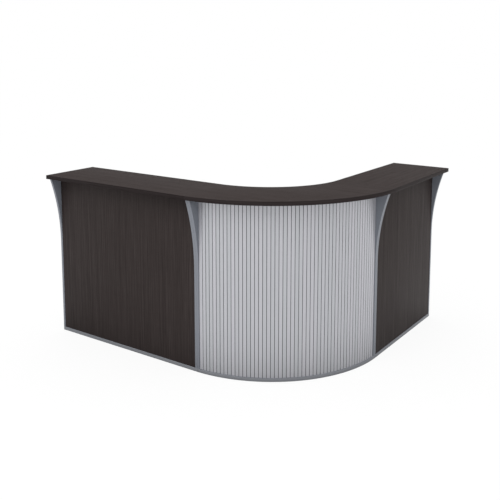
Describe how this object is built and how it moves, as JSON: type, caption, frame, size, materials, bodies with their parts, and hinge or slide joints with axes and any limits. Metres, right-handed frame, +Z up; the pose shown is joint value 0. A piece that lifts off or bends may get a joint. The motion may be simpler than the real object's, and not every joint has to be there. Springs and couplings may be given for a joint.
{
  "type": "reception desk",
  "caption": "L-shaped reception counter with dark wood wings, flared grey supports, a quarter-round slatted silver corner and open shelves on the staff side.",
  "frame": {"origin": "on the floor, under the middle of the counter's box", "axes": "+Z up; +X along the left wing towards the corner, also the right wing's front; -Y is the left wing's front"},
  "size_m": [2.082, 1.804, 1.1],
  "materials": {
    "wenge": "satin dark wood-grain laminate",
    "grey_board": "satin silver-grey laminate",
    "silver_slat": "satin silver foil on slatted board",
    "steel": "zinc plated",
    "foot": "moulded black"
  },
  "bodies": {
    "desk": {"counter_top_left": "wenge", "counter_top_corner": "wenge", "counter_top_right": "wenge", "front_panel_left": "wenge", "front_panel_right": "wenge", "base_left": "grey_board", "base_corner": "grey_board", "base_right": "grey_board", "left_end_support": "grey_board", "left_wing_inner_support": "grey_board", "corner_left_support": "grey_board", "corner_right_support": "grey_board", "right_wing_inner_support": "grey_board", "right_end_support": "grey_board", "shelf_left": "grey_board", "shelf_corner": "grey_board", "shelf_right": "grey_board", "rail_left": "grey_board", "rail_right": "grey_board", "corner_former_bottom": "grey_board", "corner_former_top": "grey_board", "slatted_corner_panel": "silver_slat", "bracket_left_end": "steel", "bracket_left_inner": "steel", "bracket_corner_left": "steel", "bracket_corner_right": "steel", "bracket_right_inner": "steel", "bracket_right_end": "steel", "joint_bolt_left_1": "steel", "joint_bolt_left_2": "steel", "joint_bolt_left_3": "steel", "joint_bolt_right_1": "steel", "joint_bolt_right_2": "steel", "joint_bolt_right_3": "steel", "foot_bushing_left_1": "steel", "foot_bushing_left_2": "steel", "foot_bushing_left_3": "steel", "foot_bushing_left_4": "steel", "foot_bushing_corner_1": "steel", "foot_bushing_corner_2": "steel", "foot_bushing_corner_3": "steel", "foot_bushing_corner_4": "steel", "foot_bushing_right_1": "steel", "foot_bushing_right_2": "steel", "foot_bushing_right_3": "steel", "foot_bushing_right_4": "steel"},
    "levelling_foot_left_1": {"foot_left_1": "foot"},
    "levelling_foot_left_2": {"foot_left_2": "foot"},
    "levelling_foot_left_3": {"foot_left_3": "foot"},
    "levelling_foot_left_4": {"foot_left_4": "foot"},
    "levelling_foot_corner_1": {"foot_corner_1": "foot"},
    "levelling_foot_corner_2": {"foot_corner_2": "foot"},
    "levelling_foot_corner_3": {"foot_corner_3": "foot"},
    "levelling_foot_corner_4": {"foot_corner_4": "foot"},
    "levelling_foot_right_1": {"foot_right_1": "foot"},
    "levelling_foot_right_2": {"foot_right_2": "foot"},
    "levelling_foot_right_3": {"foot_right_3": "foot"},
    "levelling_foot_right_4": {"foot_right_4": "foot"}
  },
  "joints": [
    {"name": "foot_left_1_screw", "type": "slide", "parent": "desk", "child": "levelling_foot_left_1", "axis": [0, 0, -1], "range_m": [0, 0.012]},
    {"name": "foot_left_2_screw", "type": "slide", "parent": "desk", "child": "levelling_foot_left_2", "axis": [0, 0, -1], "range_m": [0, 0.012]},
    {"name": "foot_left_3_screw", "type": "slide", "parent": "desk", "child": "levelling_foot_left_3", "axis": [0, 0, -1], "range_m": [0, 0.012]},
    {"name": "foot_left_4_screw", "type": "slide", "parent": "desk", "child": "levelling_foot_left_4", "axis": [0, 0, -1], "range_m": [0, 0.012]},
    {"name": "foot_corner_1_screw", "type": "slide", "parent": "desk", "child": "levelling_foot_corner_1", "axis": [0, 0, -1], "range_m": [0, 0.012]},
    {"name": "foot_corner_2_screw", "type": "slide", "parent": "desk", "child": "levelling_foot_corner_2", "axis": [0, 0, -1], "range_m": [0, 0.012]},
    {"name": "foot_corner_3_screw", "type": "slide", "parent": "desk", "child": "levelling_foot_corner_3", "axis": [0, 0, -1], "range_m": [0, 0.012]},
    {"name": "foot_corner_4_screw", "type": "slide", "parent": "desk", "child": "levelling_foot_corner_4", "axis": [0, 0, -1], "range_m": [0, 0.012]},
    {"name": "foot_right_1_screw", "type": "slide", "parent": "desk", "child": "levelling_foot_right_1", "axis": [0, 0, -1], "range_m": [0, 0.012]},
    {"name": "foot_right_2_screw", "type": "slide", "parent": "desk", "child": "levelling_foot_right_2", "axis": [0, 0, -1], "range_m": [0, 0.012]},
    {"name": "foot_right_3_screw", "type": "slide", "parent": "desk", "child": "levelling_foot_right_3", "axis": [0, 0, -1], "range_m": [0, 0.012]},
    {"name": "foot_right_4_screw", "type": "slide", "parent": "desk", "child": "levelling_foot_right_4", "axis": [0, 0, -1], "range_m": [0, 0.012]}
  ]
}
